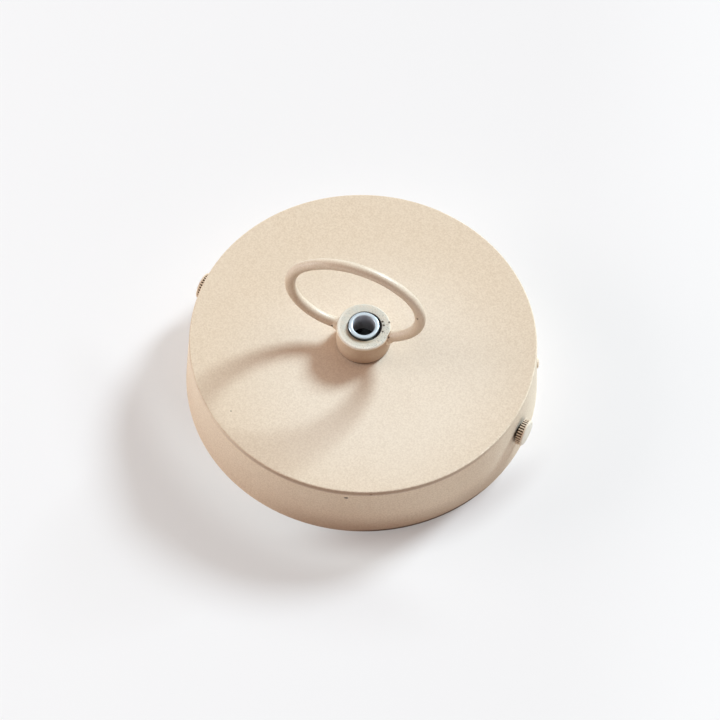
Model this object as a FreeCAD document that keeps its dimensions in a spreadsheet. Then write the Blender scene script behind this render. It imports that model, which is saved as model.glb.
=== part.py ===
"""Ceiling rose: a drawn cup on a ceiling strap, with a hanging ring on a threaded collar.

Millimetres. The open rim of the cup lies in the plane z = 0, which is the ceiling in use.
+Z points out of the closed face towards the ring, and +X along the axis of the side screws.
"""
import FreeCAD, Part
import math
import os
import re

import Sketcher

doc = FreeCAD.newDocument("ceiling_rose")
sheet = doc.addObject("Spreadsheet::Sheet", "sizes")

# Driving dimensions, in millimetres and degrees
DRIVING = {
    # Drawn cup
    "cup_rim_diameter": 120.0,
    "cup_top_diameter": 117.7,
    "cup_height": 24.5,
    "cup_sheet": 1.0,
    "cup_edge_radius": 0.4,
    "cup_inner_radius": 0.5,
    "cup_hole_clearance": 0.2,
    "side_hole_clearance": 0.3,
    # Hollow threaded nipple
    "nipple_diameter": 10.0,
    "nipple_bore": 7.6,
    "nipple_stand": 1.0,
    "nipple_tail": 1.0,
    "nipple_chamfer": 0.5,
    # Collar of the hanging loop
    "collar_diameter": 18.4,
    "collar_height": 9.4,
    "collar_countersink": 0.85,
    "collar_edge_radius": 0.5,
    "thread_clearance": 0.05,
    # Wire ring of the hanging loop
    "wire_diameter": 3.7,
    "ring_width": 45.8,
    "ring_height": 39.7,
    "ring_side_ease": 2.35,
    "ring_centre_height": 24.3,
    "ring_offset": 3.4,
    "ring_azimuth": 9.2,
    # Lock nut and toothed washer under the cup's face
    "nut_flats": 14.0,
    "nut_height": 3.0,
    "nut_face_diameter": 13.2,
    "nut_chamfer": 0.8,
    "lock_washer_diameter": 15.5,
    "lock_washer_thickness": 0.7,
    "lock_washer_teeth": 10.0,
    "lock_washer_notch": 1.4,
    # Knurled side screws
    "side_screw_height": 13.0,
    "screw_diameter": 4.0,
    "screw_length": 8.0,
    "screw_head_diameter": 9.2,
    "screw_head_band": 2.4,
    "screw_head_dome": 0.6,
    "screw_head_edge": 0.3,
    "screw_head_gap": 0.3,
    "knurl_teeth": 30.0,
    "knurl_depth": 0.4,
    "knurl_groove": 0.72,
    # Ceiling strap
    "strap_sheet": 1.5,
    "strap_width": 18.0,
    "strap_bend_radius": 1.2,
    "strap_cable_hole": 13.0,
    "slot_spacing": 80.0,
    "slot_length": 16.0,
    "slot_width": 4.6,
    "lug_clearance": 0.4,
    "lug_margin": 5.5,
    "lug_corner_radius": 4.0,
    "lug_boss_diameter": 6.6,
    "lug_boss_length": 1.5,
    # Earth terminal on the strap
    "earth_position": 22.0,
    "earth_screw_diameter": 4.0,
    "earth_head_diameter": 7.6,
    "earth_head_height": 2.4,
    "earth_boss_diameter": 6.4,
    "earth_boss_height": 1.4,
    "earth_washer_diameter": 9.4,
    "earth_washer_thickness": 1.0,
    "screw_tip_recess": 0.3,
    # Three-pole terminal strip on the strap
    "pole_pitch": 9.6,
    "strip_position": 19.0,
    "strip_length": 17.0,
    "strip_height": 12.4,
    "strip_floor": 1.6,
    "barrel_wall": 0.9,
    "tower_spacing": 9.0,
    "tower_diameter": 5.8,
    "well_clearance": 0.2,
    "column_diameter": 6.0,
    "column_height": 8.2,
    "sleeve_diameter": 5.0,
    "sleeve_bore": 3.2,
    "sleeve_length": 14.5,
    "sleeve_clearance": 0.05,
    "clamp_screw_diameter": 2.6,
    "clamp_head_diameter": 3.6,
    "clamp_head_height": 1.6,
    "clamp_screw_length": 3.8,
    "fixing_screw_diameter": 3.0,
    "fixing_head_diameter": 5.4,
    "fixing_head_height": 2.0,
    "fixing_hole_clearance": 0.15,
    # Screwdriver slots
    "driver_slot_width": 0.8,
    "driver_slot_depth": 0.9,
}
for row, (name, size) in enumerate(DRIVING.items(), start=1):
    sheet.set(f"A{row}", name)
    sheet.set(f"B{row}", str(size))
    sheet.setAlias(f"B{row}", name)
doc.recompute()

ALIAS = re.compile(r"\b(" + "|".join(DRIVING) + r")\b")
X_AXIS = FreeCAD.Vector(1, 0, 0)
Y_AXIS = FreeCAD.Vector(0, 1, 0)
Z_AXIS = FreeCAD.Vector(0, 0, 1)
QUARTER = math.pi / 2
PARTS = []


# Working with the sheet and with sketches
def bound(text):
    """The expression with its sizes written as cells of the sheet."""
    return ALIAS.sub(r"sizes.\1", text)


def measure(text):
    """What the expression comes to at present."""
    return float(sheet.evalExpression(text))


def bind(feature, **expressions):
    """Ties properties of a feature to expressions."""
    for name, text in expressions.items():
        feature.setExpression(name, bound(text))


def place(body, axis=Z_AXIS, turn="0", **expressions):
    """Turns a body about one axis and ties its position to expressions for x, y and z."""
    body.Placement = FreeCAD.Placement(FreeCAD.Vector(), FreeCAD.Rotation(axis, measure(turn)))
    if turn in DRIVING:
        body.setExpression("Placement.Rotation.Angle", bound(turn))
    for name, text in expressions.items():
        body.setExpression(f"Placement.Base.{name}", bound(text))


def new_body(label):
    body = doc.addObject("PartDesign::Body", label)
    body.Label = label
    PARTS.append(body)
    return body


def new_sketch(body, plane, lift=None):
    """A sketch on one of the body's own origin planes, moved along the plane's normal."""
    sketch = body.newObject("Sketcher::SketchObject", f"{body.Name}_sketch")
    support = next(item for item in body.Origin.OriginFeatures if item.Role == plane)
    sketch.AttachmentSupport = (support, [""])
    sketch.MapMode = "FlatFace"
    if lift:
        sketch.setExpression("AttachmentOffset.Base.z", bound(lift))
    return sketch


def tie_point(sketch, geometry, vertex, x, y):
    """Holds a point of the sketch at x and y from the sketch's origin."""
    for kind, text in (("DistanceX", x), ("DistanceY", y)):
        index = sketch.addConstraint(Sketcher.Constraint(kind, -1, 1, geometry, vertex, measure(text)))
        sketch.setExpression(f"Constraints[{index}]", bound(text))


def outline(sketch, corners):
    """A closed outline of straight lines through corners given as expressions."""
    first = sketch.GeometryCount
    count = len(corners)
    points = [FreeCAD.Vector(measure(x), measure(y), 0) for x, y in corners]
    for i in range(count):
        sketch.addGeometry(Part.LineSegment(points[i], points[(i + 1) % count]))
    for i, (x, y) in enumerate(corners):
        sketch.addConstraint(Sketcher.Constraint("Coincident", first + i, 2, first + (i + 1) % count, 1))
        tie_point(sketch, first + i, 1, x, y)
    return sketch


def circle(sketch, diameter, x="0", y="0"):
    centre = FreeCAD.Vector(measure(x), measure(y), 0)
    index = sketch.addGeometry(Part.Circle(centre, Z_AXIS, measure(diameter) / 2))
    tie_point(sketch, index, 3, x, y)
    rule = sketch.addConstraint(Sketcher.Constraint("Diameter", index, measure(diameter)))
    sketch.setExpression(f"Constraints[{rule}]", bound(diameter))
    return sketch


# Features
def revolve(body, corners):
    """A turned piece: the half section in x and z goes once round the Z axis."""
    sketch = outline(new_sketch(body, "XZ_Plane"), corners)
    feature = body.newObject("PartDesign::Revolution", f"{body.Name}_turned")
    feature.Profile = sketch
    feature.ReferenceAxis = (sketch, ["V_Axis"])
    feature.Angle = 360
    doc.recompute()
    return feature


def groove(body, corners):
    """Takes the ring with this half section away from a body."""
    sketch = outline(new_sketch(body, "XZ_Plane"), corners)
    feature = body.newObject("PartDesign::Groove", f"{body.Name}_groove")
    feature.Profile = sketch
    feature.ReferenceAxis = (sketch, ["V_Axis"])
    feature.Angle = 360
    doc.recompute()
    return feature


def extrude(body, kind, sketch, length, both_ways=False, backwards=False):
    """A Pad or a Pocket of a sketch along its normal."""
    feature = body.newObject(f"PartDesign::{kind}", f"{body.Name}_{kind.lower()}")
    feature.Profile = sketch
    bind(feature, Length=length)
    if both_ways:
        feature.SideType = "Symmetric"
    feature.Reversed = backwards
    doc.recompute()
    return feature


def pad(body, sketch, length, **options):
    return extrude(body, "Pad", sketch, length, **options)


def pocket(body, sketch, length, **options):
    """A cut that has to take material away."""
    before = body.Tip.Shape.Volume
    feature = extrude(body, "Pocket", sketch, length, **options)
    if not feature.Shape.Volume < before:
        raise RuntimeError(f"{feature.Name} cuts nothing")
    return feature


def around(body, feature, count):
    """Repeats a feature round the Z axis."""
    pattern = body.newObject("PartDesign::PolarPattern", f"{body.Name}_pattern")
    pattern.Originals = [feature]
    pattern.Axis = (feature.Profile[0], ["N_Axis"])
    pattern.Angle = 360
    bind(pattern, Occurrences=count)
    body.Tip = pattern
    doc.recompute()
    return pattern


def round_edges(body, radius, wanted):
    """Fillets those edges of a body that the test picks."""
    base = body.Tip
    edges = [f"Edge{i}" for i, edge in enumerate(base.Shape.Edges, start=1) if wanted(edge)]
    feature = body.newObject("PartDesign::Fillet", f"{body.Name}_fillet")
    feature.Base = (base, edges)
    bind(feature, Radius=radius)
    doc.recompute()
    return feature


# Picking edges
NEAR = 1e-4


def is_ring(edge, radius, height):
    """True for a full circle round the Z axis."""
    curve = edge.Curve
    if not isinstance(curve, Part.Circle):
        return False
    return abs(curve.Radius - measure(radius)) < NEAR and abs(curve.Center.z - measure(height)) < NEAR


def runs_along(edge, axis):
    """True for a straight edge parallel to an axis."""
    if not isinstance(edge.Curve, Part.Line):
        return False
    return abs(abs(edge.tangentAt(edge.FirstParameter).dot(axis)) - 1) < NEAR


def lies_at(edge, x=None, y=None, z=None):
    """True for an edge whose middle lies at these distances from the origin planes."""
    middle = edge.CenterOfMass
    wanted = zip((middle.x, middle.y, middle.z), (x, y, z))
    return all(text is None or abs(abs(at) - measure(text)) < NEAR for at, text in wanted)


# Sizes that follow from the driving ones
def wall_radius(height):
    """Outside radius of the cup's leaning wall at a height above the rim."""
    lean = "(cup_rim_diameter - cup_top_diameter) / 2 / cup_height"
    return f"(cup_rim_diameter / 2 - {lean} * ({height}))"


FACE_UNDER = "(cup_height - cup_sheet)"
CUP_HOLE = "(nipple_diameter + 2 * cup_hole_clearance)"
COLLAR_BORE = "(nipple_diameter + 2 * thread_clearance)"
NUT_TOP = f"({FACE_UNDER} - lock_washer_thickness)"
NIPPLE_FOOT = f"({NUT_TOP} - nut_height - nipple_tail)"
NIPPLE_LENGTH = f"(cup_height + collar_height + nipple_stand - {NIPPLE_FOOT})"
LUG_TOP = "(side_screw_height + lug_margin)"
LUG_ROOM = f"(min({wall_radius(LUG_TOP)}; {wall_radius('0')}) - cup_sheet)"
LUG_FACE = f"(sqrt(pow({LUG_ROOM}; 2) - pow(strap_width / 2; 2)) - lug_clearance)"
HEAD_LOW = "side_screw_height - screw_head_diameter / 2"
HEAD_HIGH = "side_screw_height + screw_head_diameter / 2"
SCREW_SEAT = f"(max({wall_radius(HEAD_LOW)}; {wall_radius(HEAD_HIGH)}) + screw_head_gap)"
BETWEEN_SEATS = f"(2 * {SCREW_SEAT})"
BARREL_RADIUS = "(sleeve_diameter / 2 + barrel_wall)"
POLES = ("-pole_pitch", "0", "pole_pitch")
TOWERS = ("-tower_spacing / 2", "tower_spacing / 2")
BETWEEN_POLES = ("-pole_pitch / 2", "pole_pitch / 2")


# Drawn cup with a hole for the nipple and two holes for the side screws
cup = new_body("cup")
revolve(cup, [
    (f"{CUP_HOLE} / 2", FACE_UNDER),
    (f"{wall_radius(FACE_UNDER)} - cup_sheet", FACE_UNDER),
    ("cup_rim_diameter / 2 - cup_sheet", "0"),
    ("cup_rim_diameter / 2", "0"),
    ("cup_top_diameter / 2", "cup_height"),
    (f"{CUP_HOLE} / 2", "cup_height"),
])
round_edges(cup, "cup_edge_radius", lambda edge: is_ring(edge, "cup_top_diameter / 2", "cup_height"))
round_edges(
    cup, "cup_inner_radius", lambda edge: is_ring(edge, f"{wall_radius(FACE_UNDER)} - cup_sheet", FACE_UNDER)
)
side_holes = circle(
    new_sketch(cup, "YZ_Plane"), "screw_diameter + 2 * side_hole_clearance", y="side_screw_height"
)
pocket(cup, side_holes, BETWEEN_SEATS, both_ways=True)


# Turned collar of the hanging loop, countersunk at both ends of its thread
collar = new_body("loop_collar")
revolve(collar, [
    (f"{COLLAR_BORE} / 2 + collar_countersink", "0"),
    ("collar_diameter / 2", "0"),
    ("collar_diameter / 2", "collar_height"),
    (f"{COLLAR_BORE} / 2 + collar_countersink", "collar_height"),
    (f"{COLLAR_BORE} / 2", "collar_height - collar_countersink"),
    (f"{COLLAR_BORE} / 2", "collar_countersink"),
])
round_edges(
    collar, "collar_edge_radius",
    lambda edge: is_ring(edge, "collar_diameter / 2", "0")
    or is_ring(edge, "collar_diameter / 2", "collar_height"),
)
place(collar, Z_AXIS, "ring_azimuth", z="cup_height")


# Oval wire ring: tighter bends at the sides, a flatter crown, both ends cut flat at the collar's sides
ring = new_body("loop_ring")
RING_X = "(0 - ring_offset)"
SIDE_RADIUS = "(ring_height / 2 - ring_side_ease)"
SIDE_REACH = f"(ring_width / 2 - {SIDE_RADIUS})"
CROWN_DROP = f"((pow({SIDE_REACH}; 2) - pow(ring_side_ease; 2)) / (2 * ring_side_ease))"
CROWN_RADIUS = f"({CROWN_DROP} + ring_height / 2)"
WIRE_END = f"(collar_diameter + {COLLAR_BORE}) / 4"


def ring_path(body):
    """Four tangent arcs from the collar's right side over the top to its left side."""
    sketch = new_sketch(body, "XZ_Plane")
    side = FreeCAD.Vector(measure(SIDE_REACH), 0, 0)
    drop = FreeCAD.Vector(0, measure(CROWN_DROP), 0)
    middle = FreeCAD.Vector(measure(RING_X), measure("ring_centre_height"), 0)
    end = measure(WIRE_END)
    small, large = measure(SIDE_RADIUS), measure(CROWN_RADIUS)
    upper = (side + drop).getAngle(X_AXIS)
    right_end = (end - middle.x) / large - QUARTER
    left_end = (side.x - middle.x - end) / small + 3 * QUARTER
    arcs = (
        (middle + drop, large, right_end, -upper),
        (middle + side, small, -upper, upper),
        (middle - drop, large, upper, 2 * QUARTER - upper),
        (middle - side, small, 2 * QUARTER - upper, left_end),
    )
    for centre, radius, start, stop in arcs:
        sketch.addGeometry(Part.ArcOfCircle(Part.Circle(centre, Z_AXIS, radius), start, stop))
    for first in range(len(arcs) - 1):
        sketch.addConstraint(Sketcher.Constraint("Tangent", first, 2, first + 1, 1))
    for index, radius in enumerate((CROWN_RADIUS, SIDE_RADIUS, CROWN_RADIUS, SIDE_RADIUS)):
        rule = sketch.addConstraint(Sketcher.Constraint("Radius", index, measure(radius)))
        sketch.setExpression(f"Constraints[{rule}]", bound(radius))
    tie_point(sketch, 1, 3, f"{RING_X} + {SIDE_REACH}", "ring_centre_height")
    tie_point(sketch, 3, 3, f"{RING_X} - {SIDE_REACH}", "ring_centre_height")
    for geometry, vertex, text in ((0, 3, RING_X), (0, 1, WIRE_END), (3, 2, f"0 - {WIRE_END}")):
        rule = sketch.addConstraint(
            Sketcher.Constraint("DistanceX", -1, 1, geometry, vertex, measure(text))
        )
        sketch.setExpression(f"Constraints[{rule}]", bound(text))
    doc.recompute()
    return sketch


path = ring_path(ring)
section = ring.newObject("Sketcher::SketchObject", "loop_ring_section")
section.AttachmentSupport = (path, ["Edge1"])
section.MapMode = "NormalToEdge"
circle(section, "wire_diameter")
doc.recompute()
wire = ring.newObject("PartDesign::AdditivePipe", "loop_ring_wire")
wire.Profile = section
wire.Spine = (path, [])
doc.recompute()
ends = ring.newObject("PartDesign::SubtractiveBox", "loop_ring_ends")
bind(ends, Length="collar_diameter", Width="collar_diameter", Height="ring_centre_height")
for direction in ("x", "y"):
    ends.setExpression(f"Placement.Base.{direction}", bound("0 - collar_diameter / 2"))
place(ring, Z_AXIS, "ring_azimuth", z="cup_height")


# Hollow threaded nipple through the cup's face, with broken edges
nipple = new_body("nipple")
revolve(nipple, [
    ("nipple_bore / 2", "0"),
    ("nipple_diameter / 2 - nipple_chamfer", "0"),
    ("nipple_diameter / 2", "nipple_chamfer"),
    ("nipple_diameter / 2", f"{NIPPLE_LENGTH} - nipple_chamfer"),
    ("nipple_diameter / 2 - nipple_chamfer", NIPPLE_LENGTH),
    ("nipple_bore / 2", NIPPLE_LENGTH),
])
round_edges(nipple, "nipple_chamfer / 2", lambda edge: is_ring(edge, "nipple_bore / 2", NIPPLE_LENGTH))
place(nipple, z=NIPPLE_FOOT)


# Toothed washer against the underside of the face
washer = new_body("lock_washer")
flat = circle(circle(new_sketch(washer, "XY_Plane"), "lock_washer_diameter"), CUP_HOLE)
pad(washer, flat, "lock_washer_thickness")
notch = outline(new_sketch(washer, "XY_Plane"), [
    ("lock_washer_diameter / 2 - lock_washer_notch", "0 - lock_washer_notch / 2"),
    ("lock_washer_diameter", "0 - lock_washer_notch / 2"),
    ("lock_washer_diameter", "lock_washer_notch / 2"),
    ("lock_washer_diameter / 2 - lock_washer_notch", "lock_washer_notch / 2"),
])
around(washer, pocket(washer, notch, "lock_washer_thickness", backwards=True), "lock_washer_teeth")
place(washer, z=NUT_TOP)


# Hexagon lock nut with chamfered corners
nut = new_body("lock_nut")
NUT_CORNER = "(nut_flats / sqrt(3))"
hexagon = outline(new_sketch(nut, "XY_Plane"), [
    (NUT_CORNER, "0"),
    (f"{NUT_CORNER} / 2", "nut_flats / 2"),
    (f"0 - {NUT_CORNER} / 2", "nut_flats / 2"),
    (f"0 - {NUT_CORNER}", "0"),
    (f"0 - {NUT_CORNER} / 2", "0 - nut_flats / 2"),
    (f"{NUT_CORNER} / 2", "0 - nut_flats / 2"),
])
pad(nut, circle(hexagon, COLLAR_BORE), "nut_height")
groove(nut, [
    ("nut_face_diameter / 2", "0"),
    (f"{NUT_CORNER} + nut_chamfer", "0"),
    (f"{NUT_CORNER} + nut_chamfer", "nut_chamfer"),
])
place(nut, z=f"{NUT_TOP} - nut_height")


# Knurled side screws, one at each end of the X axis
def side_screw(label, side):
    """A turned screw: shank, knurled band and a flatly domed face."""
    body = new_body(label)
    revolve(body, [
        ("0", "0 - screw_length"),
        ("screw_diameter / 2 - screw_head_edge", "0 - screw_length"),
        ("screw_diameter / 2", "screw_head_edge - screw_length"),
        ("screw_diameter / 2", "0"),
        ("screw_head_diameter / 2 - screw_head_edge", "0"),
        ("screw_head_diameter / 2", "screw_head_edge"),
        ("screw_head_diameter / 2", "screw_head_band"),
        ("screw_head_diameter / 2 - screw_head_dome", "screw_head_band + screw_head_dome"),
        ("0", "screw_head_band + screw_head_dome"),
    ])
    face = "screw_head_band + screw_head_dome"
    round_edges(
        body, "screw_head_dome / 2",
        lambda edge: is_ring(edge, "screw_head_diameter / 2 - screw_head_dome", face),
    )
    tooth_gap = outline(new_sketch(body, "XY_Plane"), [
        ("screw_head_diameter / 2 - knurl_depth", "0"),
        ("screw_head_diameter / 2 + knurl_depth", "0 - knurl_groove"),
        ("screw_head_diameter / 2 + knurl_depth", "knurl_groove"),
    ])
    around(body, pocket(body, tooth_gap, "screw_head_band", backwards=True), "knurl_teeth")
    place(body, Y_AXIS, f"{side} * 90", x=f"{side} * {SCREW_SEAT}", z="side_screw_height")


side_screw("thumbscrew_right", 1)
side_screw("thumbscrew_left", -1)


# Folded ceiling strap: slots, cable hole, tapped bosses and two lugs for the side screws
def slot(sketch, length, width, x):
    """A round-ended slot along the sketch's x direction."""
    reach = f"({length} - {width}) / 2"
    radius = measure(width) / 2
    centres = (f"{x} + {reach}", f"{x} - {reach}")
    right, left = (FreeCAD.Vector(measure(text), 0, 0) for text in centres)
    up = FreeCAD.Vector(0, radius, 0)
    first = sketch.GeometryCount
    sketch.addGeometry(Part.ArcOfCircle(Part.Circle(right, Z_AXIS, radius), -QUARTER, QUARTER))
    sketch.addGeometry(Part.LineSegment(right + up, left + up))
    sketch.addGeometry(Part.ArcOfCircle(Part.Circle(left, Z_AXIS, radius), QUARTER, 3 * QUARTER))
    sketch.addGeometry(Part.LineSegment(left - up, right - up))
    for i in range(4):
        sketch.addConstraint(Sketcher.Constraint("Tangent", first + i, 2, first + (i + 1) % 4, 1))
    rule = sketch.addConstraint(Sketcher.Constraint("Radius", first, radius))
    sketch.setExpression(f"Constraints[{rule}]", bound(f"{width} / 2"))
    tie_point(sketch, first, 3, centres[0], "0")
    tie_point(sketch, first + 2, 3, centres[1], "0")
    return sketch


strap = new_body("bracket")
folded = outline(new_sketch(strap, "XZ_Plane"), [
    (f"0 - {LUG_FACE}", "0"),
    (LUG_FACE, "0"),
    (LUG_FACE, LUG_TOP),
    (f"{LUG_FACE} - strap_sheet", LUG_TOP),
    (f"{LUG_FACE} - strap_sheet", "strap_sheet"),
    (f"strap_sheet - {LUG_FACE}", "strap_sheet"),
    (f"strap_sheet - {LUG_FACE}", LUG_TOP),
    (f"0 - {LUG_FACE}", LUG_TOP),
])
pad(strap, folded, "strap_width", both_ways=True)
round_edges(
    strap, "strap_bend_radius",
    lambda edge: runs_along(edge, Y_AXIS) and lies_at(edge, x=f"{LUG_FACE} - strap_sheet", z="strap_sheet"),
)
round_edges(
    strap, "strap_bend_radius + strap_sheet",
    lambda edge: runs_along(edge, Y_AXIS) and lies_at(edge, x=LUG_FACE, z="0"),
)
round_edges(
    strap, "lug_corner_radius",
    lambda edge: runs_along(edge, X_AXIS) and lies_at(edge, y="strap_width / 2", z=LUG_TOP),
)
for side in (1, -1):
    boss = new_sketch(strap, "YZ_Plane", lift=f"{side} * ({LUG_FACE} - strap_sheet)")
    circle(boss, "lug_boss_diameter", y="side_screw_height")
    pad(strap, boss, "lug_boss_length", backwards=side > 0)
earth_boss = new_sketch(strap, "XY_Plane", lift="strap_sheet")
pad(strap, circle(earth_boss, "earth_boss_diameter", x="0 - earth_position"), "earth_boss_height")
lug_threads = new_sketch(strap, "YZ_Plane")
circle(lug_threads, "screw_diameter + 2 * thread_clearance", y="side_screw_height")
pocket(strap, lug_threads, BETWEEN_SEATS, both_ways=True)
holes = new_sketch(strap, "XY_Plane")
circle(holes, "strap_cable_hole")
circle(holes, "earth_screw_diameter + 2 * thread_clearance", x="0 - earth_position")
for y in BETWEEN_POLES:
    circle(holes, "fixing_screw_diameter + 2 * thread_clearance", x="strip_position", y=y)
for x in ("slot_spacing / 2", "0 - slot_spacing / 2"):
    slot(holes, "slot_length", "slot_width", x)
pocket(strap, holes, "strap_sheet + earth_boss_height", backwards=True)


# Slotted machine screws
def driver_screw(label, thread, length, head, head_height):
    """A screw with a rounded, slotted head whose underside lies in the body's own z = 0."""
    body = new_body(label)
    revolve(body, [
        ("0", f"0 - {length}"),
        (f"{thread} / 2", f"0 - {length}"),
        (f"{thread} / 2", "0"),
        (f"{head} / 2", "0"),
        (f"{head} / 2", head_height),
        ("0", head_height),
    ])
    round_edges(body, f"{head_height} / 2", lambda edge: is_ring(edge, f"{head} / 2", head_height))
    cut = outline(new_sketch(body, "XY_Plane", lift=head_height), [
        (f"0 - {head}", "0 - driver_slot_width / 2"),
        (head, "0 - driver_slot_width / 2"),
        (head, "driver_slot_width / 2"),
        (f"0 - {head}", "driver_slot_width / 2"),
    ])
    pocket(body, cut, "driver_slot_depth")
    return body


# Earth terminal: a clamp washer under a screw in the strap's boss
EARTH_SEAT = "(strap_sheet + earth_boss_height)"
EARTH_HEAD = f"({EARTH_SEAT} + earth_washer_thickness)"
clamp = new_body("earth_washer")
disc = circle(new_sketch(clamp, "XY_Plane"), "earth_washer_diameter")
pad(clamp, circle(disc, "earth_screw_diameter + 2 * cup_hole_clearance"), "earth_washer_thickness")
place(clamp, x="0 - earth_position", z=EARTH_SEAT)
earth_screw = driver_screw(
    "earth_screw", "earth_screw_diameter", f"({EARTH_HEAD} - screw_tip_recess)",
    "earth_head_diameter", "earth_head_height",
)
place(earth_screw, x="0 - earth_position", z=EARTH_HEAD)


# Moulded housing of the terminal strip: barrels for the sleeves, towers for the clamp screws
housing = new_body("terminal_housing")
FLOOR_X = "((tower_spacing + tower_diameter) / 2)"
FLOOR_Y = f"(pole_pitch + {BARREL_RADIUS})"
strip_floor = outline(new_sketch(housing, "XY_Plane"), [
    (f"0 - {FLOOR_X}", f"0 - {FLOOR_Y}"),
    (FLOOR_X, f"0 - {FLOOR_Y}"),
    (FLOOR_X, FLOOR_Y),
    (f"0 - {FLOOR_X}", FLOOR_Y),
])
pad(housing, strip_floor, "strip_floor")
barrels = new_sketch(housing, "YZ_Plane")
tunnels = new_sketch(housing, "YZ_Plane")
towers = new_sketch(housing, "XY_Plane", lift=BARREL_RADIUS)
wells = new_sketch(housing, "XY_Plane", lift=BARREL_RADIUS)
for pole in POLES:
    circle(barrels, f"2 * {BARREL_RADIUS}", x=pole, y=BARREL_RADIUS)
    circle(tunnels, "sleeve_diameter + 2 * sleeve_clearance", x=pole, y=BARREL_RADIUS)
    for tower in TOWERS:
        circle(towers, "tower_diameter", x=tower, y=pole)
        circle(wells, "clamp_head_diameter + 2 * well_clearance", x=tower, y=pole)
columns = new_sketch(housing, "XY_Plane")
column_holes = new_sketch(housing, "XY_Plane")
for y in BETWEEN_POLES:
    circle(columns, "column_diameter", y=y)
    circle(column_holes, "fixing_screw_diameter + 2 * fixing_hole_clearance", y=y)
pad(housing, barrels, "strip_length", both_ways=True)
pad(housing, towers, f"strip_height - {BARREL_RADIUS}")
pad(housing, columns, "column_height")
pocket(housing, tunnels, "strip_length", both_ways=True)
pocket(housing, wells, f"strip_height - {BARREL_RADIUS}", backwards=True)
pocket(housing, column_holes, "column_height", backwards=True)
place(housing, x="strip_position", z="strap_sheet")


# Brass sleeves and their clamp screws, pole by pole
SLEEVE_AXIS = f"(strap_sheet + {BARREL_RADIUS})"
CLAMP_SEAT = f"({SLEEVE_AXIS} + clamp_screw_length)"
for number, pole in enumerate(POLES, start=1):
    sleeve = new_body(f"terminal_sleeve_{number}")
    tube = circle(circle(new_sketch(sleeve, "YZ_Plane"), "sleeve_diameter"), "sleeve_bore")
    pad(sleeve, tube, "sleeve_length", both_ways=True)
    taps = new_sketch(sleeve, "XY_Plane")
    for tower in TOWERS:
        circle(taps, "clamp_screw_diameter + 2 * thread_clearance", x=tower)
    pocket(sleeve, taps, "sleeve_diameter", backwards=True)
    place(sleeve, x="strip_position", y=pole, z=SLEEVE_AXIS)
    for step, tower in enumerate(TOWERS):
        screw = driver_screw(
            f"terminal_screw_{2 * number - 1 + step}", "clamp_screw_diameter", "clamp_screw_length",
            "clamp_head_diameter", "clamp_head_height",
        )
        place(screw, x=f"strip_position + {tower}", y=pole, z=CLAMP_SEAT)


# Screws that hold the strip down
FIXING_SEAT = "(strap_sheet + column_height)"
for number, y in enumerate(BETWEEN_POLES, start=1):
    screw = driver_screw(
        f"fixing_screw_{number}", "fixing_screw_diameter", f"({FIXING_SEAT} - screw_tip_recess)",
        "fixing_head_diameter", "fixing_head_height",
    )
    place(screw, x="strip_position", y=y, z=FIXING_SEAT)


# Test of every object, then one file for each piece
doc.recompute()
for item in doc.Objects:
    if "Invalid" in item.State or "Error" in item.State:
        raise RuntimeError(f"{item.Label} failed: {item.State}")
os.makedirs("parts", exist_ok=True)
for body in PARTS:
    shape = body.Shape
    if shape.isNull() or not shape.isValid() or len(shape.Solids) != 1:
        raise RuntimeError(f"{body.Label} is not one valid solid")
    shape.exportStep(f"parts/{body.Label}.step")
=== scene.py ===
"""Ceiling rose with a hanging ring: the finish of every piece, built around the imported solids.

Metres. The cup's open rim lies in the plane z = 0, +Z points out of its closed face towards the
ring, and +X runs along the axis of the side screws.
"""
import math

import bmesh
import bpy
from mathutils import Matrix, Vector, noise


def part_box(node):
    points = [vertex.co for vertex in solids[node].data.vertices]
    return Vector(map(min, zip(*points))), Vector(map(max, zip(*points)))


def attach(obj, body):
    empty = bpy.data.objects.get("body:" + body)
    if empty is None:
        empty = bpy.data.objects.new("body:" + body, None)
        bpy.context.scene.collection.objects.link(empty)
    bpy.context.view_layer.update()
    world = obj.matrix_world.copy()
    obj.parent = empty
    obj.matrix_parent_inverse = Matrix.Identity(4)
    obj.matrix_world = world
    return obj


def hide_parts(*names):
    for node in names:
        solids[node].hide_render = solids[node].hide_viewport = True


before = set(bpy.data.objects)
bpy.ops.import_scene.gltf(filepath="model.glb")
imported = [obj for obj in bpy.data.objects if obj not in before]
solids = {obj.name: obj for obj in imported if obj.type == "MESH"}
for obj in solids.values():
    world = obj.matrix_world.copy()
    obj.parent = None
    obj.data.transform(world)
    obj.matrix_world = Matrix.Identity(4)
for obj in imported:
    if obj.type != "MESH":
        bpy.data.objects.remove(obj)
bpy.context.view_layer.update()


# Ceiling strap
# A strip of steel punched and folded into a U, zinc plated after it was bent.
# It is screwed to the ceiling through its slots, and its lugs take the side screws.
ZINC_GREY = (0.60, 0.65, 0.70, 1)
ZINC_BRIGHT = (0.78, 0.83, 0.90, 1)
ZINC_CLOUD = 0.004
ZINC_SPECK = 0.0006
FINE_RELIEF = 0.00002


def new_finish(name):
    """A material, its node tree and its shader."""
    finish = bpy.data.materials.new(name)
    finish.use_nodes = True
    return finish, finish.node_tree, finish.node_tree.nodes["Principled BSDF"]


def put(tree, socket, value):
    """Links a socket to another one, or sets its value."""
    if isinstance(value, bpy.types.NodeSocket):
        tree.links.new(value, socket)
    else:
        socket.default_value = value


def add(tree, kind, **inputs):
    """A node with some of its inputs set by name."""
    made = tree.nodes.new(kind)
    for name, value in inputs.items():
        put(tree, made.inputs[name], value)
    return made


def calc(tree, operation, *values):
    """The result of a Math node."""
    made = tree.nodes.new("ShaderNodeMath")
    made.operation = operation
    for socket, value in zip(made.inputs, values):
        put(tree, socket, value)
    return made.outputs[0]


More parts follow.
